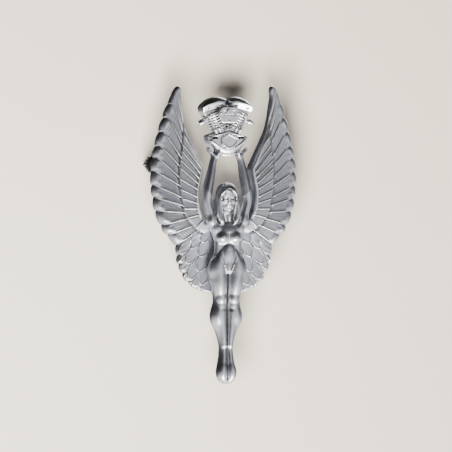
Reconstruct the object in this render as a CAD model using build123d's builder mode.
from build123d import *
import os
from math import sin, cos, tan, radians, degrees, atan2, sqrt

os.makedirs("parts", exist_ok=True)

# A winged-figure hood ornament that lifts a small V-twin engine over its head.
# Frame: X to the viewer's right, Z up, Y from the viewer towards the hood panel.
# The origin is midway between the two mounting studs, on the plane where the
# rubber pads meet the panel.  "left" and "right" are the viewer's, seen from
# the front.  All sizes are in millimetres.

# ---------------------------------------------------------------- driving sizes
stud_spacing = 53.0        # stud centre to stud centre
stud_x = stud_spacing / 2
seat_y = 0.0               # panel plane, back face of the pads
pad_t = 1.0                # pad thickness
pad_od = 8.6
pad_id = 5.1
boss_r = 3.7               # cast boss round each stud
collar_r = 2.5             # plain collar of the stud, held in the boss
collar_deep = 5.6          # how far the collar reaches into the casting
shank_r = 2.0              # plain shank that passes through the panel (M4)
grip = 2.5                 # panel space between pad and washer
thread_r = 1.77            # M4 thread, drawn at its pitch radius
thread_end = 10.6
stud_tip = 18.2            # end of the tapered point
washer_t = 0.9
washer_od = 9.0
washer_id = 3.7            # captive washer, runs on the drawn pitch radius
nut_af = 7.0               # M4 nut across flats
nut_t = 3.2
nut_bore_r = 1.81

wing_front_y = [-7.2, -7.7, -9.7, -10.4, -9.7, -8.3, -6.8]
wing_front_x = [0.0, 4.0, 8.0, 12.0, 18.0, 25.0, 31.6]
wing_back_y = [-3.1, -3.6, -4.2, -4.2]
wing_back_x = [31.6, 20.0, 8.0, 0.0]
# the same wing from the side: the tips lean forward and the lower lobes are thin
wing_side_front = [(-11.6, 34.0), (-11.3, 8.0), (-11.0, -16.0), (-9.6, -25.0), (-7.9, -34.0), (-6.8, -44.0), (-5.8, -57.0)]
wing_side_back = [(-1.9, -57.0), (-2.5, -40.0), (-3.0, -20.0), (-3.1, 4.0), (-4.0, 18.0), (-5.4, 34.0)]

crank_z = 8.8              # crankshaft centre of the little engine
vee = 22.5                 # each cylinder leans this far from upright
deck = 6.3                 # crank centre to cylinder deck
head_top = 14.2            # crank centre to the rocker box joint
rocker_top = 20.0
engine_front = -11.6
engine_back = -3.4
engine_mid = (engine_front + engine_back) / 2

cv, sv = cos(radians(vee)), sin(radians(vee))


def save(builder, name):
    builder.part.label = name
    export_step(builder.part, f"parts/{name}.step")


# ------------------------------------------------------------------------ wings
# Outer edge from the tip down through the scallops of the long feathers and the
# lower lobe, then up the inner edge behind the figure's back.
wing_outer = [
    (19.7, 32.5), (21.6, 31.6), (22.9, 29.3), (23.8, 25.6), (25.0, 24.2), (25.6, 21.7),
    (26.9, 19.6), (27.4, 17.0), (28.3, 15.0), (28.6, 11.6), (29.4, 9.4), (29.7, 6.0),
    (30.4, 3.6), (30.5, 0.2), (30.9, -2.6), (30.8, -6.2), (31.0, -8.4), (30.5, -11.6),
    (30.4, -14.6), (29.6, -17.6), (29.1, -20.6), (27.8, -23.4), (26.8, -26.4),
    (24.9, -28.6), (23.3, -30.8), (21.4, -32.8), (20.2, -35.4), (19.4, -37.9),
    (19.7, -41.2), (18.7, -43.8), (17.6, -46.6), (15.9, -49.2), (14.0, -51.9),
    (11.5, -53.7), (8.8, -55.0), (6.0, -55.9),
]
wing_inner = [
    (3.0, -56.1), (0.03, -55.0), (0.03, -27.4), (4.2, -26.4), (8.4, -22.6),
    (10.4, -18.8), (11.6, -14.0), (11.4, -8.4), (9.7, -3.2), (10.2, -1.0),
    (12.7, 4.6), (14.7, 9.0), (16.6, 13.6), (17.8, 18.4), (18.5, 23.4), (18.9, 29.6),
]
with BuildPart() as right_wing:
    with BuildSketch(Plane.XZ):
        with BuildLine():
            Spline(*wing_outer)
            Polyline(wing_outer[-1], wing_inner[0], wing_inner[1], wing_inner[2], wing_inner[3])
            Spline(*wing_inner[3:9])
            Spline(*wing_inner[8:], wing_outer[0])
        make_face()
    extrude(amount=14)
    # dished cross-section, thickest beside the figure and thin at the rim
    with BuildSketch(Plane.XY.offset(-60)):
        with BuildLine():
            Spline(*zip(wing_front_x, wing_front_y))
            Line((wing_front_x[-1], wing_front_y[-1]), (wing_back_x[0], wing_back_y[0]))
            Spline(*zip(wing_back_x, wing_back_y))
            Line((wing_back_x[-1], wing_back_y[-1]), (wing_front_x[0], wing_front_y[0]))
        make_face()
    extrude(amount=100, mode=Mode.INTERSECT)
    with BuildSketch(Plane.YZ.offset(-1)):
        with BuildLine():
            Spline(*wing_side_front)
            Line(wing_side_front[-1], wing_side_back[0])
            Spline(*wing_side_back)
            Line(wing_side_back[-1], wing_side_front[0])
        make_face()
    extrude(amount=40, mode=Mode.INTERSECT)
    # stud boss on the back
    with BuildSketch(Plane.XZ.offset(pad_t)):
        with Locations((stud_x, 0)):
            Circle(boss_r)
    extrude(amount=3.6)
    with BuildSketch(Plane.XZ.offset(pad_t)):
        with Locations((stud_x, 0)):
            Circle(collar_r)
    extrude(amount=collar_deep - pad_t, mode=Mode.SUBTRACT)

# ridges of the feathers, raised on the front face: (x1, z1, x2, z2) along each rib
primary_ribs = [
    (19.4, 21.0, 22.3, 28.4), (19.6, 16.6, 24.0, 23.0), (19.8, 12.2, 25.4, 18.8),
    (19.9, 8.4, 26.6, 14.8), (20.2, 3.8, 27.6, 10.8), (20.2, -0.9, 28.8, 5.6),
    (20.2, -5.8, 29.4, 0.6), (19.6, -9.6, 29.8, -4.6), (19.3, -14.3, 29.6, -9.6),
    (18.7, -18.0, 29.0, -15.0), (18.0, -21.0, 27.8, -20.6), (15.8, -23.4, 25.8, -26.0),
    (14.3, -26.4, 22.6, -30.4),
]
covert_ribs = [
    (11.6, -1.6, 16.2, 6.4), (12.1, -4.2, 16.8, 3.2), (12.3, -6.8, 17.2, -0.3),
    (12.4, -9.2, 18.0, -3.5), (12.6, -11.5, 18.0, -7.7), (12.7, -14.3, 17.8, -11.8),
    (12.5, -17.1, 17.2, -15.3), (11.9, -19.4, 16.2, -19.0), (10.9, -21.6, 14.8, -22.6),
    (9.6, -23.4, 12.4, -26.0),
]
lobe_ribs = [
    (11.2, -28.6, 14.6, -33.2), (14.8, -30.2, 18.6, -35.2), (9.4, -33.0, 12.4, -38.4),
    (13.6, -34.8, 17.4, -41.0), (9.6, -38.8, 11.8, -44.6), (12.6, -40.4, 15.8, -46.4),
    (9.4, -45.0, 10.8, -51.2),
]
with BuildPart() as rib_field:
    with BuildSketch(Plane.XZ.offset(4.6)):
        for x1, z1, x2, z2 in primary_ribs + covert_ribs + lobe_ribs:
            length = sqrt((x2 - x1) ** 2 + (z2 - z1) ** 2)
            angle = degrees(atan2(z2 - z1, x2 - x1))
            with Locations(Location(((x1 + x2) / 2, (z1 + z2) / 2, 0), (0, 0, angle))):
                SlotOverall(length + 0.8, 0.8)
    extrude(amount=8)
    # keep only a skin that stands a little proud of the dished face
    with BuildSketch(Plane.XY.offset(-60)):
        with BuildLine():
            Spline(*[(x, y - 0.45) for x, y in zip(wing_front_x, wing_front_y)])
            Line((wing_front_x[-1], wing_front_y[-1] - 0.45), (wing_front_x[-1], wing_front_y[-1] + 0.5))
            Spline(*[(x, y + 0.5) for x, y in zip(wing_front_x[::-1], wing_front_y[::-1])])
            Line((wing_front_x[0], wing_front_y[0] + 0.5), (wing_front_x[0], wing_front_y[0] - 0.45))
        make_face()
    extrude(amount=100, mode=Mode.INTERSECT)
    with BuildSketch(Plane.YZ.offset(-1)):
        with BuildLine():
            Spline(*[(y - 0.45, z) for y, z in wing_side_front])
            Line((wing_side_front[-1][0] - 0.45, -57.0), (-3.5, -57.0))
            Line((-3.5, -57.0), (-3.5, 34.0))
            Line((-3.5, 34.0), (wing_side_front[0][0] - 0.45, 34.0))
        make_face()
    extrude(amount=40, mode=Mode.INTERSECT)
with right_wing:
    add(rib_field.part)

# ------------------------------------------------------------- little V-twin engine
with BuildPart() as crankcase:
    with BuildSketch(Plane.XZ.offset(-engine_back)):
        with BuildLine():
            l1 = Polyline(
                (-7.6, 9.4), (-8.1, 12.26), (0, crank_z + deck / cv), (8.1, 12.26), (7.6, 9.4)
            )
            ThreePointArc((7.6, 9.4), (0, 3.9), (-7.6, 9.4))
        make_face()
    extrude(amount=engine_back - engine_front)
    fillet(crankcase.edges().filter_by(Axis.Y).group_by(Axis.X)[0], 0.7)
    fillet(crankcase.edges().filter_by(Axis.Y).group_by(Axis.X)[-1], 0.7)
    # sunk front panel inside a raised rim
    with BuildSketch(Plane.XZ.offset(-engine_front)):
        with BuildLine():
            Polyline((-6.3, 9.2), (-6.9, 11.4), (0, 13.9), (6.9, 11.4), (6.3, 9.2))
            ThreePointArc((6.3, 9.2), (0, 5.2), (-6.3, 9.2))
        make_face()
    extrude(amount=-1.0, mode=Mode.SUBTRACT)
    # two breather slots beside the timing cover
    with BuildSketch(Plane.XZ.offset(-engine_front - 1.0)):
        with Locations((-5.2, 10.9), (5.5, 10.9)):
            Rectangle(2.2, 0.8)
    extrude(amount=-1.6, mode=Mode.SUBTRACT)

with BuildPart() as timing_cover:
    with BuildSketch(Plane.XZ.offset(-engine_front - 1.0)):
        Polygon(
            (-2.9, 10.9), (0.4, 12.9), (4.2, 11.2), (4.2, 9.5), (1.6, 6.3), (-0.7, 6.2), (-2.7, 8.9),
            align=None,
        )
        fillet(vertices(), 0.6)
    extrude(amount=1.5)
    chamfer(timing_cover.faces().sort_by(Axis.Y)[0].edges(), 0.25)

screw_spots = [(-1.9, 10.6), (0.4, 12.0), (3.4, 10.7), (1.2, 7.1), (-0.6, 7.1)]
with BuildPart() as cover_screws:
    with BuildSketch(Plane.XZ.offset(-engine_front + 0.1)):
        with Locations(*screw_spots):
            Circle(0.3)
    extrude(amount=0.75)
    with BuildSketch(Plane.XZ.offset(-engine_front + 0.5)):
        with Locations(*screw_spots):
            Circle(0.42)
    extrude(amount=0.35)
with timing_cover:
    add(cover_screws.part, mode=Mode.SUBTRACT)


def vee_plane(side):
    # side -1 leans to the left, +1 to the right; local x along the deck, local y up the bore
    return Plane(origin=(0, engine_mid, crank_z), x_dir=(cv, 0, -side * sv), z_dir=(0, -1, 0))


fin_levels = [7.3, 8.45, 9.6, 10.75, 11.9, 13.05]
cylinders = {}
for side, name in ((-1, "left_cylinder"), (1, "right_cylinder")):
    pl = vee_plane(side)
    with BuildPart() as cyl:
        with BuildSketch(pl):
            with BuildLine():
                pts = [(0, deck), (2.9, deck)]
                for level in fin_levels:
                    r = 3.1 + (level - deck) * 0.2
                    pts += [(2.75, level), (r, level), (r, level + 0.5), (2.75, level + 0.5)]
                pts += [(3.2, head_top - 0.3), (3.2, head_top), (0, head_top), (0, deck)]
                Polyline(*pts)
            make_face()
        revolve(axis=Axis(pl.origin, pl.y_dir))
        # nothing crosses the plane between the two cylinders
        with Locations((-side * 9.97, engine_mid, 20)):
            Box(20, 20, 40, mode=Mode.SUBTRACT)
    cylinders[name] = cyl
left_cylinder, right_cylinder = cylinders["left_cylinder"], cylinders["right_cylinder"]

# domed rocker boxes that nearly meet over the vee; their undersides lie on the cylinder decks
seat_x = head_top * sv
seat_z = crank_z + head_top * cv


def on_deck(x):
    return (x, seat_z - (x - seat_x) * tan(radians(vee)))


rocker_profile = [
    on_deck(0.9), (0.15, 25.0), (0.15, 27.9), (2.0, 28.6), (4.0, 28.9), (6.2, 28.5), (8.4, 27.4), (10.0, 25.9),
    (10.7, 24.3), (10.5, 22.6), on_deck(9.1),
]
rockers = {}
for side, name in ((-1, "left_rocker_box"), (1, "right_rocker_box")):
    with BuildPart() as rb:
        with BuildSketch(Plane.XZ.offset(-engine_back)):
            Polygon(*[(side * x, z) for x, z in rocker_profile], align=None)
            rim = [v for v in vertices() if abs(v.Y) > 10 or v.Y < 24]
            fillet(rim, 0.4)
        extrude(amount=engine_back - engine_front)
        front = rb.faces().sort_by(Axis.Y)[0]
        fillet(front.edges().filter_by(lambda e: e.center().Z > 25.2), 1.2)
    rockers[name] = rb
left_rocker_box, right_rocker_box = rockers["left_rocker_box"], rockers["right_rocker_box"]

# four pushrod tubes from the deck to the rocker boxes, two a side
with BuildPart() as pushrod_tubes:
    for side in (-1, 1):
        pl = vee_plane(side)
        base = Plane(origin=pl.from_local_coords((0, deck, 3.3)), x_dir=pl.x_dir, z_dir=pl.y_dir)
        with BuildSketch(base):
            with Locations((side * 0.9, 0), (side * 2.6, 0)):
                Circle(0.45)
        extrude(amount=head_top - deck)

with BuildPart() as air_cleaner:
    with BuildSketch(Plane.XZ.offset(12.1)):
        Polygon(
            (-2.7, 24.7), (2.7, 24.7), (4.7, 22.6), (4.7, 21.0), (3.0, 17.7), (-3.0, 17.7), (-4.7, 21.0), (-4.7, 22.6),
            align=None,
        )
        fillet(vertices(), 0.7)
    extrude(amount=1.2)
    chamfer(air_cleaner.faces().sort_by(Axis.Y)[0].edges(), 0.3)
    with BuildSketch(Plane.XZ.offset(13.3)):
        with Locations((0, 21.7)):
            RectangleRounded(4.6, 1.9, 0.4)
    extrude(amount=-0.4, mode=Mode.SUBTRACT)
    # intake throat back into the vee
    with BuildSketch(Plane.XZ.offset(engine_mid * -1)):
        with Locations((0, 22.4)):
            Circle(1.3)
    extrude(amount=12.1 + engine_mid)

with BuildPart() as exhaust_stubs:
    for side in (-1, 1):
        pl = vee_plane(side)
        port = Plane(
            origin=pl.from_local_coords((side * 3.0, 12.4, 0.6)),
            x_dir=(0, -1, 0),
            z_dir=tuple(pl.x_dir * side),
        )
        with BuildSketch(port):
            Circle(1.0)
        extrude(amount=3.8)
        with BuildSketch(port.offset(2.5)):
            Circle(1.35)
        extrude(amount=0.5)
        with BuildSketch(port.offset(3.8)):
            Circle(0.6)
        extrude(amount=-1.2, mode=Mode.SUBTRACT)

for builder in (left_cylinder, right_cylinder):
    with builder:
        add(pushrod_tubes.part, mode=Mode.SUBTRACT)
        add(air_cleaner.part, mode=Mode.SUBTRACT)
        add(exhaust_stubs.part, mode=Mode.SUBTRACT)

# ------------------------------------------------------------------------ figure
# (height, half width, half depth, depth centre)
torso_levels = [
    (-44.6, 7.6, 4.4, -10.3), (-41.8, 7.4, 4.5, -10.3), (-38.4, 6.0, 3.8, -10.5),
    (-35.4, 5.3, 3.5, -10.6), (-32.0, 5.7, 4.0, -10.7), (-29.0, 6.5, 3.8, -10.6),
    (-26.9, 7.6, 3.1, -10.3), (-25.4, 6.2, 2.5, -10.2), (-24.6, 4.4, 2.2, -10.2),
]
with BuildPart() as torso:
    for z, a, b, cy in torso_levels:
        with BuildSketch(Plane.XY.offset(z)):
            with Locations((0, cy)):
                Ellipse(a, b)
    loft()
    for side in (-1, 1):
        with Locations((side * 2.8, -12.9, -31.0)):
            Sphere(2.5)
    add(right_wing.part, mode=Mode.SUBTRACT)
    add(right_wing.part.mirror(Plane.YZ), mode=Mode.SUBTRACT)

leg_levels = [
    (-44.6, 3.75, 4.4, 3.9, -10.3), (-48.0, 3.6, 4.3, 4.1, -9.9), (-52.5, 3.1, 3.3, 3.7, -9.2),
    (-57.5, 2.55, 2.75, 3.2, -8.4), (-61.0, 2.9, 3.2, 3.4, -7.9), (-64.8, 3.2, 3.5, 3.7, -7.4),
    (-69.0, 2.75, 3.0, 3.3, -7.2), (-74.0, 1.9, 2.1, 2.6, -7.2), (-79.4, 1.5, 1.6, 2.1, -7.3),
    (-84.0, 1.75, 1.85, 2.5, -7.6), (-88.4, 2.2, 2.25, 3.0, -7.9), (-91.6, 1.9, 2.1, 2.6, -8.0),
    (-93.6, 1.3, 1.1, 1.3, -8.0),
]
with BuildPart() as legs:
    for z, cx, a, b, cy in leg_levels:
        with BuildSketch(Plane.XY.offset(z)):
            with Locations((cx, cy)):
                Ellipse(a, b)
    loft()
    mirror(about=Plane.YZ)
    add(right_wing.part, mode=Mode.SUBTRACT)
    add(right_wing.part.mirror(Plane.YZ), mode=Mode.SUBTRACT)

head_c = (0, -11.0, -14.2)
with BuildPart() as head:
    with BuildSketch(Plane.XZ.offset(-head_c[1])):
        with Locations((0, head_c[2])):
            Ellipse(3.7, 6.0)
        with Locations((-10, head_c[2])):
            Rectangle(20, 20, mode=Mode.SUBTRACT)
    revolve(axis=Axis((0, head_c[1], 0), (0, 0, 1)))
    # brow to chin plane
    with Locations((0, head_c[1] - 7.3, head_c[2])):
        Box(12, 7.6, 14, mode=Mode.SUBTRACT)
    with BuildSketch(Plane.XY.offset(-24.6)):
        with Locations((0, -10.4)):
            Circle(1.9)
    extrude(amount=7)
    with BuildSketch(Plane.YZ):
        Polygon((-14.3, -13.0), (-15.4, -15.6), (-14.2, -15.9), align=None)
    extrude(amount=0.6, both=True)

with BuildPart() as hair:
    with BuildSketch(Plane.XZ.offset(10.2)):
        with Locations((0, -14.0)):
            Ellipse(5.0, 6.9)
        with Locations((-10, -14.0)):
            Rectangle(20, 20, mode=Mode.SUBTRACT)
    revolve(axis=Axis((0, -10.2, 0), (0, 0, 1)))
    for side in (-1, 1):
        with BuildSketch(Plane.XY.offset(-24.3)):
            with Locations((side * 4.0, -12.2)):
                Ellipse(1.2, 1.5)
        with BuildSketch(Plane.XY.offset(-19.5)):
            with Locations((side * 4.1, -11.6)):
                Ellipse(1.5, 2.1)
        with BuildSketch(Plane.XY.offset(-14.0)):
            with Locations((side * 3.6, -11.2)):
                Ellipse(1.6, 2.6)
        loft()
    # opening that frames the face, down to the neck
    with BuildSketch(Plane.XZ.offset(11.2)):
        with Locations((0, -16.6)):
            Ellipse(2.9, 6.4)
    extrude(amount=8, mode=Mode.SUBTRACT)
    add(head.part, mode=Mode.SUBTRACT)
    add(torso.part, mode=Mode.SUBTRACT)
with head:
    add(torso.part, mode=Mode.SUBTRACT)

arms = {}
for side, name in ((-1, "left_arm"), (1, "right_arm")):
    # cupped hand under the engine
    with BuildPart() as hand:
        with Locations((side * 5.1, -10.2, 5.2)):
            Box(3.4, 3.0, 5.0)
        fillet(hand.edges(), 0.8)
    stations = [
        (side * 6.2, -9.9, -26.6), (side * 7.6, -9.8, -21.0), (side * 8.6, -9.7, -15.6),
        (side * 7.5, -9.6, -7.5), (side * 6.1, -9.7, 0.9), (side * 5.4, -10.0, 3.2),
    ]
    with BuildPart() as arm:
        with BuildLine() as spine:
            Spline(*stations)
        # narrow from the front and deep from the side
        for t, a, b in ((0.0, 1.9, 2.4), (0.35, 1.65, 2.4), (0.65, 1.8, 2.5), (1.0, 1.3, 2.1)):
            along = spine.line % t
            with BuildSketch(Plane(origin=spine.line @ t, x_dir=(along.Z, 0, -along.X), z_dir=along)):
                Ellipse(a, b)
        sweep(multisection=True)
        with Locations((side * 6.3, -10.4, -26.4)):
            Sphere(2.15)
        add(hand.part)
        for other in (torso.part, hair.part, crankcase.part, right_wing.part, right_wing.part.mirror(Plane.YZ)):
            add(other, mode=Mode.SUBTRACT)
    arms[name] = arm
left_arm, right_arm = arms["left_arm"], arms["right_arm"]

# ------------------------------------------------------ hidden pins in the castings
with BuildPart() as wing_dowels:
    with BuildSketch(Plane.XZ.offset(5.2)):
        with Locations((-3, -31), (3, -31), (-3, -39), (3, -39)):
            Circle(0.8)
    extrude(amount=4.2)
with BuildPart() as hip_dowels:
    with BuildSketch(Plane.XY.offset(-48.6)):
        with Locations((-3.9, -10.6), (3.9, -10.6)):
            Circle(0.9)
    extrude(amount=8.0)
with BuildPart() as neck_pin:
    with BuildSketch(Plane.XY.offset(-28.4)):
        with Locations((0, -10.4)):
            Circle(0.8)
    extrude(amount=7.0)
with BuildPart() as hand_pins:
    with BuildSketch(Plane.XY.offset(4.4)):
        with Locations((-5.1, -9.6), (5.1, -9.6)):
            Circle(0.6)
    extrude(amount=4.6)

for builder, pins in (
    (torso, (wing_dowels, hip_dowels, neck_pin)),
    (legs, (hip_dowels,)),
    (head, (neck_pin,)),
    (right_wing, (wing_dowels,)),
    (left_arm, (hand_pins,)),
    (right_arm, (hand_pins,)),
    (crankcase, (hand_pins,)),
):
    with builder:
        for pin in pins:
            add(pin.part, mode=Mode.SUBTRACT)

with BuildPart() as left_wing:
    mirror(right_wing.part, about=Plane.YZ)

# ------------------------------------------------------------------ mounting hardware
hardware = {}
for side, name in ((-1, "left"), (1, "right")):
    x0 = side * stud_x
    spin = Axis((x0, 0, 0), (0, 1, 0))
    with BuildPart() as stud:
        with BuildSketch(Plane.XY):
            Polygon(
                (x0, -collar_deep), (x0 + collar_r, -collar_deep), (x0 + collar_r, seat_y - 0.05),
                (x0 + shank_r, seat_y - 0.05), (x0 + shank_r, seat_y + grip), (x0 + thread_r, seat_y + grip),
                (x0 + thread_r, thread_end), (x0 + 0.35, stud_tip), (x0, stud_tip),
                align=None,
            )
        revolve(axis=spin)
    with BuildPart() as pad:
        with BuildSketch(Plane.XZ.offset(-seat_y)):
            with Locations((x0, 0)):
                Circle(pad_od / 2)
                Circle(pad_id / 2, mode=Mode.SUBTRACT)
        extrude(amount=pad_t)
    with BuildPart() as washer:
        with BuildSketch(Plane.XZ.offset(-(seat_y + grip))):
            with Locations((x0, 0)):
                Circle(washer_od / 2)
                Circle(washer_id / 2, mode=Mode.SUBTRACT)
        extrude(amount=-washer_t)
        chamfer(washer.edges().filter_by(GeomType.CIRCLE).sort_by(SortBy.LENGTH)[-2:], 0.2)
    nut_y = seat_y + grip + washer_t
    with BuildPart() as nut:
        with BuildSketch(Plane.XZ.offset(-nut_y)):
            with Locations((x0, 0)):
                RegularPolygon(nut_af / 2, 6, major_radius=False)
                Circle(nut_bore_r, mode=Mode.SUBTRACT)
        extrude(amount=-nut_t)
        # 30 degree chamfer on the corners, both faces
        with BuildSketch(Plane.XY):
            Polygon(
                (x0, nut_y), (x0 + 3.5, nut_y), (x0 + 4.2, nut_y + 0.4), (x0 + 4.2, nut_y + nut_t - 0.4),
                (x0 + 3.5, nut_y + nut_t), (x0, nut_y + nut_t),
                align=None,
            )
        revolve(axis=spin, mode=Mode.INTERSECT)
    hardware[name] = (stud, pad, washer, nut)

# ----------------------------------------------------------------------------- export
save(left_wing, "left_wing")
save(right_wing, "right_wing")
save(torso, "torso")
save(legs, "legs")
save(head, "head")
save(hair, "hair")
save(left_arm, "left_arm")
save(right_arm, "right_arm")
save(crankcase, "crankcase")
save(timing_cover, "timing_cover")
save(cover_screws, "cover_screws")
save(left_cylinder, "left_cylinder")
save(right_cylinder, "right_cylinder")
save(left_rocker_box, "left_rocker_box")
save(right_rocker_box, "right_rocker_box")
save(pushrod_tubes, "pushrod_tubes")
save(air_cleaner, "air_cleaner")
save(exhaust_stubs, "exhaust_stubs")
save(wing_dowels, "wing_dowels")
save(hip_dowels, "hip_dowels")
save(neck_pin, "neck_pin")
save(hand_pins, "hand_pins")
for side in ("left", "right"):
    stud, pad, washer, nut = hardware[side]
    save(stud, f"{side}_stud")
    save(pad, f"{side}_pad")
    save(washer, f"{side}_washer")
    save(nut, f"{side}_nut")
